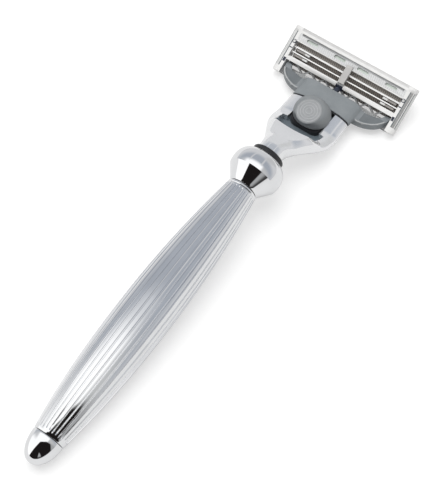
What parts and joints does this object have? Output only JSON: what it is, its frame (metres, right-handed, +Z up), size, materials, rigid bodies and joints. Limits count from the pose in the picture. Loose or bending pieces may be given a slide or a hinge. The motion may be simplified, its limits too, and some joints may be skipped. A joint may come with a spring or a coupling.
{
  "type": "cartridge razor",
  "caption": "Wet-shaving razor: swelling fluted chrome handle, bent head with a release button, and a pivoting sprung-blade cartridge that slides off forwards.",
  "frame": {"origin": "on the table, under the middle of the razor as it lies blade side down", "axes": "+Y from the end cap to the blades, +X along the blades, +Z up from the table"},
  "size_m": [0.043, 0.1538, 0.0213],
  "materials": {
    "handle_chrome": "mirror polished plate over engraved metal",
    "head_chrome": "mirror polished plate",
    "rod_steel": "plain turned steel",
    "spring_steel": "drawn spring wire",
    "seal_rubber": "smooth black rubber",
    "dock_plastic": "moulded, fine matt",
    "track_plastic": "moulded, satin",
    "button_plastic": "moulded, satin",
    "pad_plastic": "moulded with fine ridges",
    "plunger_plastic": "slick moulded",
    "connector_plastic": "moulded, fine matt",
    "housing_silver": "silver coated moulding",
    "clip_metal": "bright rolled strip",
    "strip_polymer": "waxy, pale green white",
    "fin_rubber": "soft grey elastomer",
    "finger_plastic": "moulded",
    "blade_steel": "ground and bent strip"
  },
  "bodies": {
    "handle": {"end_cap": "handle_chrome", "handle_barrel": "handle_chrome", "tie_rod": "rod_steel", "neck_bulb": "handle_chrome", "neck_seal": "seal_rubber", "head_yoke": "head_chrome", "dock_body": "dock_plastic", "button_track": "track_plastic", "plunger_spring": "spring_steel", "button_springs": "spring_steel"},
    "button": {"release_button": "button_plastic", "button_pad": "pad_plastic", "button_skirt": "dock_plastic"},
    "plunger": {"plunger": "plunger_plastic"},
    "connector": {"connector": "connector_plastic"},
    "blade_unit": {"cartridge_housing": "housing_silver", "clip_left": "clip_metal", "clip_right": "clip_metal", "lubricating_strip": "strip_polymer", "guard_fins": "fin_rubber", "blade_springs": "finger_plastic"},
    "blade_1": {"blade_1": "blade_steel", "blade_support_1": "blade_steel"},
    "blade_2": {"blade_2": "blade_steel", "blade_support_2": "blade_steel"},
    "blade_3": {"blade_3": "blade_steel", "blade_support_3": "blade_steel"}
  },
  "joints": [
    {"name": "cartridge_dock", "type": "slide", "parent": "handle", "child": "connector", "axis": [0, 0.9987, -0.0516], "range_m": [0, 0.012]},
    {"name": "cartridge_pivot", "type": "hinge", "parent": "connector", "child": "blade_unit", "pos_m": [0, 0.06617, 0.00299], "axis": [1, 0, 0], "range_deg": [0, 42], "stiffness_Nm_per_rad": 0.0023, "springref_deg": -24.64},
    {"name": "plunger_slide", "type": "slide", "parent": "handle", "child": "plunger", "axis": [0, -0.9987, 0.0516], "range_m": [0, 0.0015], "deforming": ["plunger_spring"]},
    {"name": "button_slide", "type": "slide", "parent": "handle", "child": "button", "axis": [0, 0.9987, -0.0516], "range_m": [0, 0.003], "stiffness_N_per_m": 300, "springref_m": -0.0017, "deforming": ["button_springs"]},
    {"name": "blade_1_float", "type": "slide", "parent": "blade_unit", "child": "blade_1", "axis": [0, -0.4793, 0.8776], "range_m": [0, 0.0004], "stiffness_N_per_m": 500, "springref_m": -0.0002},
    {"name": "blade_2_float", "type": "slide", "parent": "blade_unit", "child": "blade_2", "axis": [0, -0.4793, 0.8776], "range_m": [0, 0.0004], "stiffness_N_per_m": 500, "springref_m": -0.0002},
    {"name": "blade_3_float", "type": "slide", "parent": "blade_unit", "child": "blade_3", "axis": [0, -0.4793, 0.8776], "range_m": [0, 0.0004], "stiffness_N_per_m": 500, "springref_m": -0.0002}
  ],
  "couplings": [
    {"joint": "plunger_slide", "follows": "cartridge_pivot", "m_per_rad": 0.00197}
  ]
}
